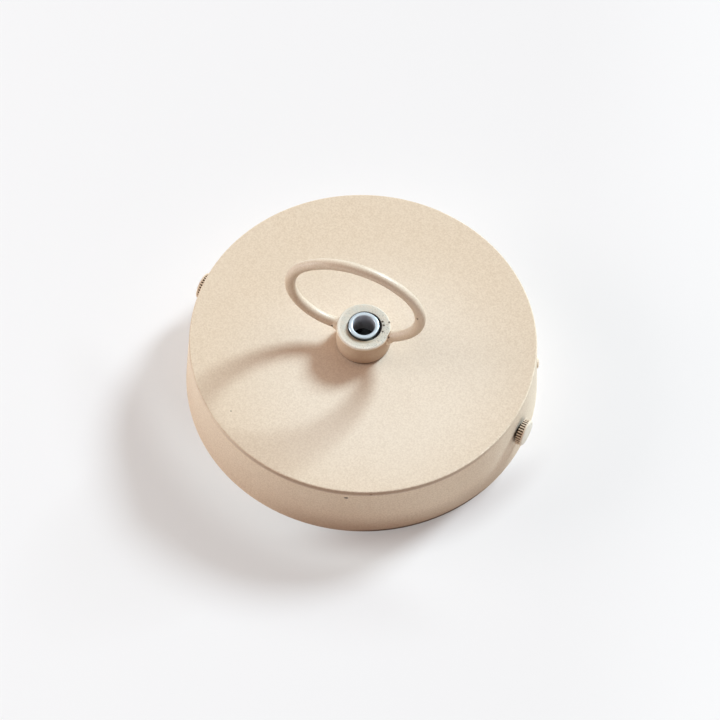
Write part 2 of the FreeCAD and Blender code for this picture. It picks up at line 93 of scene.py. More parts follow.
def blend_colours(tree, share, first, second):
    """The first colour, turned into the second one by share."""
    made = tree.nodes.new("ShaderNodeMix")
    made.data_type = "RGBA"
    put(tree, made.inputs[0], share)
    put(tree, made.inputs[6], first)
    put(tree, made.inputs[7], second)
    return made.outputs[2]


def ramp(tree, value, low, high, at_low=0.0, at_high=1.0):
    """Goes smoothly from at_low to at_high while the value goes from low to high."""
    made = tree.nodes.new("ShaderNodeMapRange")
    made.interpolation_type = "SMOOTHSTEP"
    for socket, number in zip(made.inputs, (value, low, high, at_low, at_high)):
        put(tree, socket, number)
    return made.outputs[0]


def grain(tree, place, size, detail=2.0):
    """Cloudy noise from 0 to 1 with grains of about this size."""
    made = add(tree, "ShaderNodeTexNoise", Vector=place, Scale=1 / size, Detail=detail)
    return made.outputs["Fac"]


def raise_surface(tree, shader, height, distance, strength=1.0):
    """Small relief in the surface's normal."""
    bump = add(tree, "ShaderNodeBump", Height=height, Distance=distance, Strength=strength)
    tree.links.new(bump.outputs["Normal"], shader.inputs["Normal"])


def wear_finish(finish, *names):
    """Puts a finish on solids of the frame."""
    for name in names:
        for place in solids[name].material_slots:
            place.material = finish


def zinc_plate(name):
    """Bright zinc with a bluish passivation, slightly cloudy."""
    finish, tree, shader = new_finish(name)
    place = add(tree, "ShaderNodeTexCoord").outputs["Object"]
    cloud = grain(tree, place, ZINC_CLOUD, detail=3.0)
    speck = grain(tree, place, ZINC_SPECK)
    colour = blend_colours(tree, cloud, ZINC_GREY, ZINC_BRIGHT)
    tree.links.new(colour, shader.inputs["Base Color"])
    shader.inputs["Metallic"].default_value = 1.0
    tree.links.new(ramp(tree, cloud, 0.3, 0.7, 0.26, 0.40), shader.inputs["Roughness"])
    raise_surface(tree, shader, speck, FINE_RELIEF, strength=0.35)
    return finish, tree, shader, place, colour


zinc = zinc_plate("zinc plate")[0]
wear_finish(zinc, "bracket")


# Terminal strip
# Three brass sleeves in a strip moulded in natural white plastic, with two steel clamp screws each.
# Two longer screws hold the strip down on the strap.
MOULDING_MILKY = (0.76, 0.755, 0.72, 1)
MOULDING_WHITE = (0.83, 0.83, 0.80, 1)
FLOW_MARKS = 0.006
MOULDING_GRAIN = 0.0004
BRASS_DULL = (0.62, 0.43, 0.17, 1)
BRASS_BRIGHT = (0.78, 0.58, 0.27, 1)
BRASS_CLOUD = 0.003
BRASS_GRAIN = 0.0003


def natural_moulding():
    """Slightly milky plastic with the faint flow marks of a moulding."""
    finish, tree, shader = new_finish("natural white plastic")
    place = add(tree, "ShaderNodeTexCoord").outputs["Object"]
    flow = grain(tree, place, FLOW_MARKS, detail=3.0)
    fine = grain(tree, place, MOULDING_GRAIN)
    colour = blend_colours(tree, flow, MOULDING_MILKY, MOULDING_WHITE)
    tree.links.new(colour, shader.inputs["Base Color"])
    tree.links.new(ramp(tree, flow, 0.3, 0.7, 0.38, 0.50), shader.inputs["Roughness"])
    raise_surface(tree, shader, fine, FINE_RELIEF, strength=0.3)
    return finish


def plain_brass():
    """Turned brass, a little dulled."""
    finish, tree, shader = new_finish("brass")
    place = add(tree, "ShaderNodeTexCoord").outputs["Object"]
    dull = grain(tree, place, BRASS_CLOUD, detail=3.0)
    fine = grain(tree, place, BRASS_GRAIN)
    colour = blend_colours(tree, dull, BRASS_DULL, BRASS_BRIGHT)
    tree.links.new(colour, shader.inputs["Base Color"])
    shader.inputs["Metallic"].default_value = 1.0
    tree.links.new(ramp(tree, dull, 0.3, 0.7, 0.24, 0.40), shader.inputs["Roughness"])
    raise_surface(tree, shader, fine, FINE_RELIEF, strength=0.3)
    return finish


brass = plain_brass()
wear_finish(natural_moulding(), "terminal_housing")
wear_finish(brass, *(f"terminal_sleeve_{pole}" for pole in (1, 2, 3)))
wear_finish(zinc, *(f"terminal_screw_{screw}" for screw in range(1, 7)))
wear_finish(zinc, "fixing_screw_1", "fixing_screw_2")


# Earth terminal
# A brass screw and clamp washer in a tapped boss at the other end of the strap.
wear_finish(brass, "earth_screw", "earth_washer")


# Drawn cup
# One sheet of steel drawn to a shallow cup and powder coated in sand, thinly on the inside.
# Two side screws hold it on the strap, and its face carries the nipple.
CUP_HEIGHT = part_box("cup")[1][2]
COAT_DARK = (0.725, 0.575, 0.428, 1)
COAT_LIGHT = (0.875, 0.73, 0.572, 1)
COAT_PALE = (0.86, 0.735, 0.59, 1)
COAT_GRAIN = 0.00055
COAT_CLOUD = 0.02
COAT_RELIEF = 0.00006
COAT_ROUGHNESS = 0.62
COAT_SPECULAR = 0.35
# Dark of chipped coat, also used for a painted contact shadow.
CHIP_AND_SHADOW_DARK = (0.10, 0.065, 0.045, 1)
SCUFF_BROWN = (0.20, 0.14, 0.10, 1)
PINHOLE_BROWN = (0.25, 0.18, 0.13, 1)
RAGGED_EDGE = 0.0006
# The face's pale middle and tan edge are a painted sheen.
SHEEN_PALE = (0.975, 0.86, 0.747, 1)
SHEEN_TAN = (0.65, 0.425, 0.23, 1)
SHEEN_SHARE = 0.2
FACE_START = CUP_HEIGHT - 0.0004
FACE_FULL = CUP_HEIGHT - 0.0001
SHEEN_MIDDLE = (0.0120, -0.0109)
SHEEN_REACH = 0.022
SHEEN_FADE_REACH = 0.060
# The edge line is painted shade below the upper edge.
EDGE_LINE = (0.34, 0.20, 0.13, 1)
EDGE_LINE_LOW = CUP_HEIGHT - 0.0025
EDGE_LINE_FULL = CUP_HEIGHT - 0.0013
EDGE_LINE_TOWARDS = -66
EDGE_LINE_REACH = (0.03, 0.057)
# Painted shade low on the front wall.
FOOT_SHADE_LOW = 0.0005
FOOT_SHADE_TOP = 0.011
FOOT_SHADE_REACH = (0.03, 0.056)
# The rim line is a painted contact shadow at the foot.
RIM_LINE_FULL = 0.0004
RIM_LINE_TOP = 0.0012
RIM_LINE_TOWARDS = -42
RIM_LINE_REACH = (0.0535, 0.0585)
RIM_FACE = 0.0002
THIN_CLOUD = 0.009
STEEL_GREY = (0.36, 0.34, 0.32, 1)
CUP_MARKS = (
    ((0.0221, -0.0547, 0.0206), (0.00075, 0.00075, 0.0005), CHIP_AND_SHADOW_DARK),
    ((0.0295, -0.0510, 0.0231), (0.0006, 0.0006, 0.0004), SCUFF_BROWN),
    ((-0.0264, -0.0453, 0.0245), (0.0003, 0.0003, 0.0003), PINHOLE_BROWN),
)


def spot(tree, place, at, reach):
    """1 at a mark and 0 outside it, with an uneven edge."""
    ragged = grain(tree, place, RAGGED_EDGE)
    away = tree.nodes.new("ShaderNodeVectorMath")
    away.operation = "SUBTRACT"
    put(tree, away.inputs[0], place)
    put(tree, away.inputs[1], at)
    scaled = tree.nodes.new("ShaderNodeVectorMath")
    scaled.operation = "DIVIDE"
    put(tree, scaled.inputs[0], away.outputs[0])
    put(tree, scaled.inputs[1], reach)
    length = tree.nodes.new("ShaderNodeVectorMath")
    length.operation = "LENGTH"
    put(tree, length.inputs[0], scaled.outputs[0])
    edge = calc(tree, "ADD", length.outputs["Value"], ragged)
    return ramp(tree, edge, 1.1, 1.7, 1.0, 0.0)


def sand_coat(name, marks=()):
    """Fine-grained matte powder coat in sand, with marks where it is chipped."""
    finish, tree, shader = new_finish(name)
    place = add(tree, "ShaderNodeTexCoord").outputs["Object"]
    fine = grain(tree, place, COAT_GRAIN, detail=3.0)
    broad = grain(tree, place, COAT_CLOUD)
    colour = blend_colours(tree, ramp(tree, fine, 0.25, 0.75), COAT_DARK, COAT_LIGHT)
    colour = blend_colours(tree, ramp(tree, broad, 0.3, 0.7, 0.0, 0.15), colour, COAT_PALE)
    for at, reach, tint in marks:
        colour = blend_colours(tree, spot(tree, place, at, reach), colour, tint)
    tree.links.new(colour, shader.inputs["Base Color"])
    shader.inputs["Roughness"].default_value = COAT_ROUGHNESS
    shader.inputs["Specular IOR Level"].default_value = COAT_SPECULAR
    raise_surface(tree, shader, fine, COAT_RELIEF, strength=0.35)
    return finish, tree, shader, place, colour


def new_piece(name, mesh, body, slot, *nodes):
    """A finished piece that moves with a body and stands for some of the frame's solids."""
    piece = bpy.data.objects.new(name, mesh)
    bpy.context.scene.collection.objects.link(piece)
    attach(piece, body)
    if nodes:
        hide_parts(*nodes)
    return piece


def facing(tree, parts, azimuth):
    """How far a place lies out from the axis towards an azimuth in degrees."""
    turn = math.radians(azimuth)
    along = calc(tree, "MULTIPLY", parts[0], math.cos(turn))
    return calc(tree, "ADD", along, calc(tree, "MULTIPLY", parts[1], math.sin(turn)))


def from_axis(tree, first, second):
    """Distance from an axis, from the two coordinates across it."""
    squares = calc(tree, "ADD", calc(tree, "POWER", first, 2.0), calc(tree, "POWER", second, 2.0))
    return calc(tree, "SQRT", squares)


def cup_coat():
    """Sand coat with a painted sheen on the face, pale in the middle and tan to the edge, and painted shade
    at the upper edge, low on the front wall and along the rim.
    """
    finish, tree, shader, place, colour = sand_coat("sand coat of the cup", CUP_MARKS)
    parts = add(tree, "ShaderNodeSeparateXYZ", Vector=place).outputs
    # The pale middle and tan edge of the face are a painted sheen.
    aside = [calc(tree, "SUBTRACT", part, at) for part, at in zip(parts, SHEEN_MIDDLE)]
    outer = ramp(tree, from_axis(tree, *aside), SHEEN_REACH, SHEEN_FADE_REACH)
    sheen_tone = blend_colours(tree, outer, SHEEN_PALE, SHEEN_TAN)
    on_face = ramp(tree, parts[2], FACE_START, FACE_FULL, 0.0, SHEEN_SHARE)
    colour = blend_colours(tree, on_face, colour, sheen_tone)
    # A painted shade line below the upper edge, strongest on the side away from the lamp.
    rising = ramp(tree, parts[2], EDGE_LINE_LOW, EDGE_LINE_FULL)
    falling = ramp(tree, parts[2], FACE_START, FACE_FULL, 1.0, 0.0)
    wear_and_shade_side = ramp(tree, facing(tree, parts, EDGE_LINE_TOWARDS), *EDGE_LINE_REACH, 0.1, 0.72)
    line = calc(tree, "MULTIPLY", calc(tree, "MULTIPLY", rising, falling), wear_and_shade_side)
    colour = blend_colours(tree, line, colour, EDGE_LINE)
    # Painted shade low on the front wall, darker towards the foot.
    shaded_side = ramp(tree, facing(tree, parts, RIM_LINE_TOWARDS), *FOOT_SHADE_REACH)
    foot_shade = ramp(tree, parts[2], FOOT_SHADE_LOW, FOOT_SHADE_TOP, 0.45, 0.0)
    colour = blend_colours(tree, calc(tree, "MULTIPLY", foot_shade, shaded_side), colour, EDGE_LINE)
    # A painted contact shadow along the foot of the wall in front.
    low = ramp(tree, parts[2], RIM_LINE_FULL, RIM_LINE_TOP, 0.9, 0.0)
    contact_shadow = ramp(tree, facing(tree, parts, RIM_LINE_TOWARDS), *RIM_LINE_REACH)
    dark = calc(tree, "MULTIPLY", low, contact_shadow)
    tree.links.new(blend_colours(tree, dark, colour, CHIP_AND_SHADOW_DARK), shader.inputs["Base Color"])
    return finish


def thin_coat():
    """The coat inside the cup, where little powder reached and the grey steel shows through."""
    finish, tree, shader, place, colour = sand_coat("thin coat inside the cup")
    bare = ramp(tree, grain(tree, place, THIN_CLOUD, detail=4.0), 0.35, 0.70, 0.30, 0.58)
    tree.links.new(blend_colours(tree, bare, colour, STEEL_GREY), shader.inputs["Base Color"])
    return finish


shell = solids["cup"].data.copy()
shell.materials.clear()
shell.materials.append(cup_coat())
shell.materials.append(thin_coat())
for face in shell.polygons:
    outwards = Vector((face.center.x, face.center.y, 0)).normalized()
    inside = face.normal.z < -0.5 or face.normal.dot(outwards) < -0.3
    face.material_index = int(inside and face.center.z > RIM_FACE)
new_piece("drawn_cup", shell, "rose", "sand_coat", "cup")


# Hollow nipple
# A steel tube with an M10 thread, zinc plated; its bore is matte, with painted shade that darkens it to
# black further in.
# It joins the cup to the collar, and its smooth end stands a little proud of the collar.
NIPPLE_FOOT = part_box("nipple")[0][2]
NIPPLE_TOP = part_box("nipple")[1][2]
NIPPLE_BORE = 0.0038
NIPPLE_END = 0.0052
NIPPLE_ROOT = 0.00445
NIPPLE_PITCH = 0.001
PLAIN_END = 0.0021
EDGE_ROUND = 0.00035
BORE_SHADE_DEPTH = 0.0083
ZINC_DULL = (0.34, 0.41, 0.46, 1)
DULL_SHARE = 0.6
# The bore's colours are painted shade: grey at the mouth, darker further in, black deepest.
BORE_MOUTH = (0.60, 0.64, 0.70, 1)
BORE_MIDDLE = (0.30, 0.29, 0.29, 1)
BORE_DEEP = (0.004, 0.004, 0.004, 1)
BORE_FADE_TOP = NIPPLE_TOP - 0.0004
BORE_FADE_FOOT = NIPPLE_TOP - 0.0050


def arc(radius, height, size, first, last, steps=6):
    """Corners along a rounding in a section, from one angle to another in degrees."""
    angles = (math.radians(first + (last - first) * step / steps) for step in range(steps + 1))
    return [(radius + size * math.cos(a), height + size * math.sin(a)) for a in angles]


def turned(name, section, closed, steps=120):
    """A mesh turned about Z from a section of radius and height, which may begin and end on Z."""
    shape = bmesh.new()
    rows = []
    for step in range(steps):
        angle = 2 * math.pi * step / steps
        rows.append([shape.verts.new((r * math.cos(angle), r * math.sin(angle), z)) for r, z in section])
    last = len(section) if closed else len(section) - 1
    for row, following in zip(rows, rows[1:] + rows[:1]):
        for corner in range(last):
            after = (corner + 1) % len(section)
            shape.faces.new((row[corner], following[corner], following[after], row[after]))
    bmesh.ops.remove_doubles(shape, verts=shape.verts, dist=1e-7)
    bmesh.ops.recalc_face_normals(shape, faces=shape.faces)
    mesh = bpy.data.meshes.new(name)
    shape.to_mesh(mesh)
    shape.free()
    return mesh


def soften(mesh, sharp=35):
    """Smooth shading, but for edges that turn by more than some degrees."""
    mesh.shade_smooth()
    mesh.set_sharp_from_angle(angle=math.radians(sharp))


def new_rule(name, **sizes):
    """A Geometry Nodes tree that adds to a mesh, and its inputs for sizes and finish."""
    tree = bpy.data.node_groups.new(name, "GeometryNodeTree")
    tree.interface.new_socket("Core", in_out="INPUT", socket_type="NodeSocketGeometry")
    for size, kind in sizes.items():
        tree.interface.new_socket(size, in_out="INPUT", socket_type=f"NodeSocket{kind}")
    tree.interface.new_socket("Finish", in_out="INPUT", socket_type="NodeSocketMaterial")
    tree.interface.new_socket("Piece", in_out="OUTPUT", socket_type="NodeSocketGeometry")
    return tree, tree.nodes.new("NodeGroupInput").outputs


def close_rule(tree, given, made):
    """Joins what a tree made to its core, as one plain mesh in one finish."""
    joined = tree.nodes.new("GeometryNodeJoinGeometry")
    tree.links.new(made, joined.inputs[0])
    tree.links.new(given["Core"], joined.inputs[0])
    plain = add(tree, "GeometryNodeRealizeInstances", Geometry=joined.outputs[0])
    dressed = add(tree, "GeometryNodeSetMaterial", Geometry=plain.outputs[0], Material=given["Finish"])
    tree.links.new(dressed.outputs[0], tree.nodes.new("NodeGroupOutput").inputs[0])


def follow_rule(tree, core, **sizes):
    """The plain mesh that a tree makes around a core."""
    blank = bpy.data.objects.new(core.name, core)
    bpy.context.scene.collection.objects.link(blank)
    rule = blank.modifiers.new(tree.name, "NODES")
    rule.node_group = tree
    for socket in tree.interface.items_tree:
        if socket.in_out == "INPUT" and socket.name in sizes:
            rule[socket.identifier] = sizes[socket.name]
    made = bpy.data.meshes.new_from_object(blank.evaluated_get(bpy.context.evaluated_depsgraph_get()))
    bpy.data.objects.remove(blank)
    return made


def thread_rule():
    """A ridge wound round a core, tapered off at both ends."""
    tree, given = new_rule("thread", Radius="Float", Pitch="Float", Turns="Float", Foot="Float")
    rise = calc(tree, "MULTIPLY", given["Pitch"], given["Turns"])
    coil = add(tree, "GeometryNodeCurveSpiral", Resolution=48, Rotations=given["Turns"], Height=rise)
    put(tree, coil.inputs["Start Radius"], given["Radius"])
    put(tree, coil.inputs["End Radius"], given["Radius"])
    lift = add(tree, "ShaderNodeCombineXYZ", Z=given["Foot"])
    lifted = add(tree, "GeometryNodeTransform", Geometry=coil.outputs[0], Translation=lift.outputs[0])
    upright = add(tree, "GeometryNodeSetCurveNormal", Curve=lifted.outputs[0])
    upright.mode = "Z_UP"
    along = tree.nodes.new("GeometryNodeSplineParameter").outputs["Factor"]
    near_end = calc(tree, "MINIMUM", along, calc(tree, "SUBTRACT", 1.0, along))
    taper = calc(tree, "MINIMUM", calc(tree, "MULTIPLY", near_end, given["Turns"]), 1.0)
    ridge = add(tree, "GeometryNodeCurvePrimitiveCircle", Resolution=4)
    put(tree, ridge.inputs["Radius"], calc(tree, "MULTIPLY", given["Pitch"], 0.5))
    swept = add(tree, "GeometryNodeCurveToMesh", Curve=upright.outputs[0], Scale=taper)
    put(tree, swept.inputs["Profile Curve"], ridge.outputs[0])
    swept.inputs["Fill Caps"].default_value = True
    close_rule(tree, given, swept.outputs[0])
    return tree


def nipple_zinc():
    """Bright zinc outside and at the end, and a matte bore with painted shade, darker further in and black
    deepest.
    """
    finish, tree, shader, place, colour = zinc_plate("zinc plate of the nipple")
    parts = add(tree, "ShaderNodeSeparateXYZ", Vector=place).outputs
    across = from_axis(tree, parts[0], parts[1])
    in_bore = ramp(tree, across, NIPPLE_BORE + 0.00002, NIPPLE_BORE + 0.00012, 1.0, 0.0)
    # Painted shade down the bore, and painted black deeper in.
    fading = ramp(tree, parts[2], BORE_FADE_FOOT, BORE_FADE_TOP, 1.0, 0.0)
    black_shade_top = NIPPLE_TOP - BORE_SHADE_DEPTH
    deep = ramp(tree, parts[2], black_shade_top - 0.0003, black_shade_top, 1.0, 0.0)
    dull = blend_colours(tree, DULL_SHARE, colour, ZINC_DULL)
    steel = blend_colours(tree, fading, BORE_MOUTH, BORE_MIDDLE)
    steel = blend_colours(tree, deep, steel, BORE_DEEP)
    tree.links.new(blend_colours(tree, in_bore, dull, steel), shader.inputs["Base Color"])
    tree.links.new(calc(tree, "SUBTRACT", 1.0, in_bore), shader.inputs["Metallic"])
    tree.links.new(ramp(tree, in_bore, 0.0, 1.0, 0.5, 0.12), shader.inputs["Specular IOR Level"])
    return finish


thread = thread_rule()
tube = turned("nipple_core", [
    (NIPPLE_BORE, NIPPLE_FOOT + EDGE_ROUND),
    (NIPPLE_BORE + EDGE_ROUND, NIPPLE_FOOT),
    (NIPPLE_ROOT - EDGE_ROUND / 2, NIPPLE_FOOT),
    (NIPPLE_ROOT, NIPPLE_FOOT + EDGE_ROUND / 2),
    (NIPPLE_ROOT, NIPPLE_TOP - PLAIN_END),
    (NIPPLE_END, NIPPLE_TOP - PLAIN_END),
    *arc(NIPPLE_END - EDGE_ROUND, NIPPLE_TOP - EDGE_ROUND, EDGE_ROUND, 0, 90),
    *arc(NIPPLE_BORE + EDGE_ROUND, NIPPLE_TOP - EDGE_ROUND, EDGE_ROUND, 90, 180),
], True)
thread_turns = (NIPPLE_TOP - NIPPLE_FOOT - PLAIN_END) / NIPPLE_PITCH - 0.9
threaded = follow_rule(
    thread, tube, Finish=nipple_zinc(), Radius=NIPPLE_ROOT, Pitch=NIPPLE_PITCH,
    Turns=thread_turns, Foot=NIPPLE_FOOT + 0.45 * NIPPLE_PITCH,
)
soften(threaded)
new_piece("threaded_nipple", threaded, "rose", "zinc_steel", "nipple")


# Lock washer and nut
# A toothed steel washer and a hexagon nut, zinc plated.
# They clamp the cup's face against the collar from the inside.
wear_finish(zinc, "lock_washer", "lock_nut")


# Collar of the loop
# A short turned steel sleeve with a threaded bore and a wide countersink, coated with the cup.
# It is screwed down the nipple onto the cup's face, and its top edge has lost some of its coat.
COLLAR_RADIUS = 0.0092
COLLAR_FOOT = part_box("loop_collar")[0][2]
COLLAR_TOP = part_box("loop_collar")[1][2]
COLLAR_BORE = 0.00505
COLLAR_CHAMFER = 0.00085
COLLAR_EDGE = 0.0007
COLLAR_FOOT_EDGE = 0.0005
SINK_RADIUS = 0.0058
SINK_DEPTH = 0.0014
SINK_EDGE = 0.0002
SINK_STEP = 0.0003
SINK_SHIFT = Vector((0.00017, 0.0003, 0))
SIDE_BROWN = (0.44, 0.28, 0.175, 1)
SIDE_FULL = COLLAR_TOP - 0.0009
SIDE_START = COLLAR_TOP - 0.0005
SIDE_SANDY_TOWARDS = 205.5
SIDE_SANDY_REACH = (0.0, 0.009)
LOWER_FOOT = COLLAR_FOOT + 0.0005
LOWER_TOP = COLLAR_FOOT + 0.0042
TOP_START = COLLAR_TOP - 0.0003
TOP_FULL = COLLAR_TOP - 0.00005
TOP_CLOUD = 0.0025
TOP_RUBBED = (0.645, 0.62, 0.54, 1)
EDGE_HIGHLIGHT_PALE = (0.95, 0.87, 0.75, 1)
EDGE_PALE_RADII = (0.0076, 0.0086)
EDGE_PALE_TOWARDS = -110
EDGE_PALE_REACH = (-0.004, 0.005)
# Painted shade on the countersink's lip.
LIP_SHADE_BROWN = (0.30, 0.22, 0.13, 1)
LIP_SHADE_RADII = (0.0060, 0.0073)
LIP_SHADE_TOWARDS = -85
LIP_SHADE_REACH = (0.002, 0.0055)
SPECK_SIZE = 0.0005
SPECK_GREY = (0.22, 0.21, 0.19, 1)
COLLAR_WORN_TOWARDS = 10
COLLAR_WORN_REACH = (-0.002, 0.006)
PAINTED_FOOT_SHADOW = (0.06, 0.035, 0.022, 1)
FOOT_LINE_FULL = COLLAR_FOOT + 0.0004
FOOT_LINE_TOP = COLLAR_FOOT + 0.0009
FOOT_LINE_TOWARDS = -45
FOOT_LINE_REACH = (0.004, 0.0085)
# Painted shade in the countersink.
SINK_SHADE_DARK = (0.03, 0.022, 0.018, 1)
SINK_SHADE_LIGHT = (0.16, 0.135, 0.09, 1)
SINK_SHADE_RADII = (0.0064, 0.0068)
SINK_SHADE_LIGHT_TOWARDS = -64.5
SINK_SHADE_LIGHT_REACH = (0.002, 0.0055)
COLLAR_MARKS = (
    ((0.0047, 0.0047, COLLAR_TOP), (0.0004, 0.0004, 0.0004), CHIP_AND_SHADOW_DARK),
    ((0.0057, 0.0036, COLLAR_TOP), (0.0004, 0.0004, 0.0004), CHIP_AND_SHADOW_DARK),
    ((0.0065, 0.0012, COLLAR_TOP), (0.0003, 0.0004, 0.0004), CHIP_AND_SHADOW_DARK),
    ((0.0068, 0.0056, COLLAR_TOP), (0.0005, 0.0005, 0.0005), CHIP_AND_SHADOW_DARK),
)


def collar_coat():
    """Sand coat, browner down the side and rubbed greyish on the top, with a painted highlight on the outer
    top edge, painted shade on the countersink's lip and inside it, and a painted shadow at the foot.
    """
    finish, tree, shader, place, colour = sand_coat("sand coat of the collar")
    parts = add(tree, "ShaderNodeSeparateXYZ", Vector=place).outputs
    across = from_axis(tree, parts[0], parts[1])
    on_side = ramp(tree, parts[2], SIDE_FULL, SIDE_START, 1.0, 0.0)
    brown = ramp(tree, facing(tree, parts, SIDE_SANDY_TOWARDS), *SIDE_SANDY_REACH, 0.62, 0.45)
    colour = blend_colours(tree, calc(tree, "MULTIPLY", on_side, brown), colour, SIDE_BROWN)
    lower = ramp(tree, parts[2], LOWER_FOOT, LOWER_TOP, 0.4, 0.0)
    colour = blend_colours(tree, lower, colour, EDGE_LINE)
    on_top = ramp(tree, parts[2], TOP_START, TOP_FULL)
    cloud = grain(tree, place, TOP_CLOUD, detail=3.0)
    rubbed = calc(tree, "MULTIPLY", on_top, ramp(tree, cloud, 0.3, 0.7, 0.45, 0.85))
    colour = blend_colours(tree, rubbed, colour, TOP_RUBBED)
    # A painted highlight on the rounded outer top edge.
    outermost = ramp(tree, across, *EDGE_PALE_RADII, 0.0, 0.85)
    rounded = ramp(tree, parts[2], COLLAR_TOP - 0.0006, TOP_START)
    this_side = ramp(tree, facing(tree, parts, EDGE_PALE_TOWARDS), *EDGE_PALE_REACH)
    pale = calc(tree, "MULTIPLY", calc(tree, "MULTIPLY", outermost, rounded), this_side)
    colour = blend_colours(tree, pale, colour, EDGE_HIGHLIGHT_PALE)
    # Painted shade on the countersink's lip, on the front.
    innermost = ramp(tree, across, *LIP_SHADE_RADII, 0.8, 0.0)
    this_side = ramp(tree, facing(tree, parts, LIP_SHADE_TOWARDS), *LIP_SHADE_REACH)
    lip_shade = calc(tree, "MULTIPLY", calc(tree, "MULTIPLY", innermost, this_side), on_top)
    colour = blend_colours(tree, lip_shade, colour, LIP_SHADE_BROWN)
    speckled = ramp(tree, grain(tree, place, SPECK_SIZE), 0.56, 0.66, 0.0, 0.55)
    wear_and_shade_side = ramp(tree, facing(tree, parts, COLLAR_WORN_TOWARDS), *COLLAR_WORN_REACH, 0.4, 1.0)
    specks = calc(tree, "MULTIPLY", calc(tree, "MULTIPLY", on_top, speckled), wear_and_shade_side)
    colour = blend_colours(tree, specks, colour, SPECK_GREY)
    # A painted contact shadow at the foot, strongest in front on the right.
    at_foot = ramp(tree, parts[2], FOOT_LINE_FULL, FOOT_LINE_TOP, 1.0, 0.0)
    this_side = ramp(tree, facing(tree, parts, FOOT_LINE_TOWARDS), *FOOT_LINE_REACH, 0.35, 0.95)
    colour = blend_colours(tree, calc(tree, "MULTIPLY", at_foot, this_side), colour, PAINTED_FOOT_SHADOW)
    for at, reach, tint in COLLAR_MARKS:
        colour = blend_colours(tree, spot(tree, place, at, reach), colour, tint)
    # Painted shade in the countersink, lighter on the front.
    sunk = ramp(tree, parts[2], COLLAR_TOP - 0.0004, COLLAR_TOP - 0.0001, 1.0, 0.0)
    sink_shaded = calc(tree, "MULTIPLY", sunk, ramp(tree, across, *SINK_SHADE_RADII, 1.0, 0.0))
    this_side = ramp(tree, facing(tree, parts, SINK_SHADE_LIGHT_TOWARDS), *SINK_SHADE_LIGHT_REACH)
    sink_shade = blend_colours(tree, this_side, SINK_SHADE_DARK, SINK_SHADE_LIGHT)
    tree.links.new(blend_colours(tree, sink_shaded, colour, sink_shade), shader.inputs["Base Color"])
    return finish


sleeve = turned("turned_collar", [
    (COLLAR_BORE + COLLAR_CHAMFER, COLLAR_FOOT),
    *arc(COLLAR_RADIUS - COLLAR_FOOT_EDGE, COLLAR_FOOT + COLLAR_FOOT_EDGE, COLLAR_FOOT_EDGE, -90, 0),
    *arc(COLLAR_RADIUS - COLLAR_EDGE, COLLAR_TOP - COLLAR_EDGE, COLLAR_EDGE, 0, 90),
    *arc(SINK_RADIUS + SINK_EDGE, COLLAR_TOP - SINK_EDGE, SINK_EDGE, 90, 180, steps=3),
    (SINK_RADIUS, COLLAR_TOP - SINK_DEPTH),
    (COLLAR_BORE, COLLAR_TOP - SINK_DEPTH - SINK_STEP),
    (COLLAR_BORE, COLLAR_FOOT + COLLAR_CHAMFER),
], True)
for corner in sleeve.vertices:
    above_floor = corner.co.z > COLLAR_TOP - SINK_DEPTH - 0.0001
    if above_floor and corner.co.xy.length < SINK_RADIUS + 0.0003:
        corner.co += SINK_SHIFT
soften(sleeve)
sleeve.materials.append(collar_coat())
new_piece("turned_collar", sleeve, "loop", "sand_coat", "loop_collar")


# Wire ring
# Round steel wire bent to an oval, coated with the collar.
# Both of its ends are welded to the collar's sides.
WIRE_RADIUS = 0.00185
RING_TURN = math.radians(9.2)
RING_ROUGHNESS = 0.42
RING_SPECULAR = 0.6
# Painted shade for the wire's underside.
UNDERSIDE_SHADE_BROWN = (0.40, 0.25, 0.155, 1)
RING_MARKS = (
    ((0.0190, 0.0012, 0.0518), (0.0004, 0.0004, 0.0007), CHIP_AND_SHADOW_DARK),
)


def ring_coat():
    """The sand coat, which ran smoother on the wire, with painted shade that browns its underside."""
    finish, tree, shader, place, colour = sand_coat("sand coat of the ring", RING_MARKS)
    normal = add(tree, "ShaderNodeTexCoord").outputs["Normal"]
    upwards = add(tree, "ShaderNodeSeparateXYZ", Vector=normal).outputs["Z"]
    # Painted shade that browns the wire's underside.
    thin = ramp(tree, upwards, -0.5, 0.5, 0.65, 0.12)
    tree.links.new(blend_colours(tree, thin, colour, UNDERSIDE_SHADE_BROWN), shader.inputs["Base Color"])
    shader.inputs["Roughness"].default_value = RING_ROUGHNESS
    shader.inputs["Specular IOR Level"].default_value = RING_SPECULAR
    return finish


wear_finish(ring_coat(), "loop_ring")


# Weld beads
# Small uneven fillets of weld metal where the wire meets the collar, coated over.
# Each is a trumpet round the wire's end that sinks into the collar's side.
WELD_REACH = 0.0021
WELD_SINK = 0.0009
WELD_FLARE = 0.0011
WELD_LUMPS = 0.16
FLARE_LUMPS = 2.2 * WELD_LUMPS
BEAD_RADIUS = WIRE_RADIUS * 0.985
LUMPS_PER_METRE = 900
WELD_MARKS = (
    ((0.0093, 0.0002, 0.0340), (0.0004, 0.0005, 0.0005), CHIP_AND_SHADOW_DARK),
    ((0.0098, -0.0012, 0.0325), (0.0003, 0.0004, 0.0005), CHIP_AND_SHADOW_DARK),
    ((-0.0102, -0.0034, 0.0316), (0.0004, 0.0005, 0.0005), CHIP_AND_SHADOW_DARK),
)
WELDS = {
    "weld_right": (0.0092, 0.03238, 30.4),
    "weld_left": (-0.0092, 0.03130, 178.7),
}


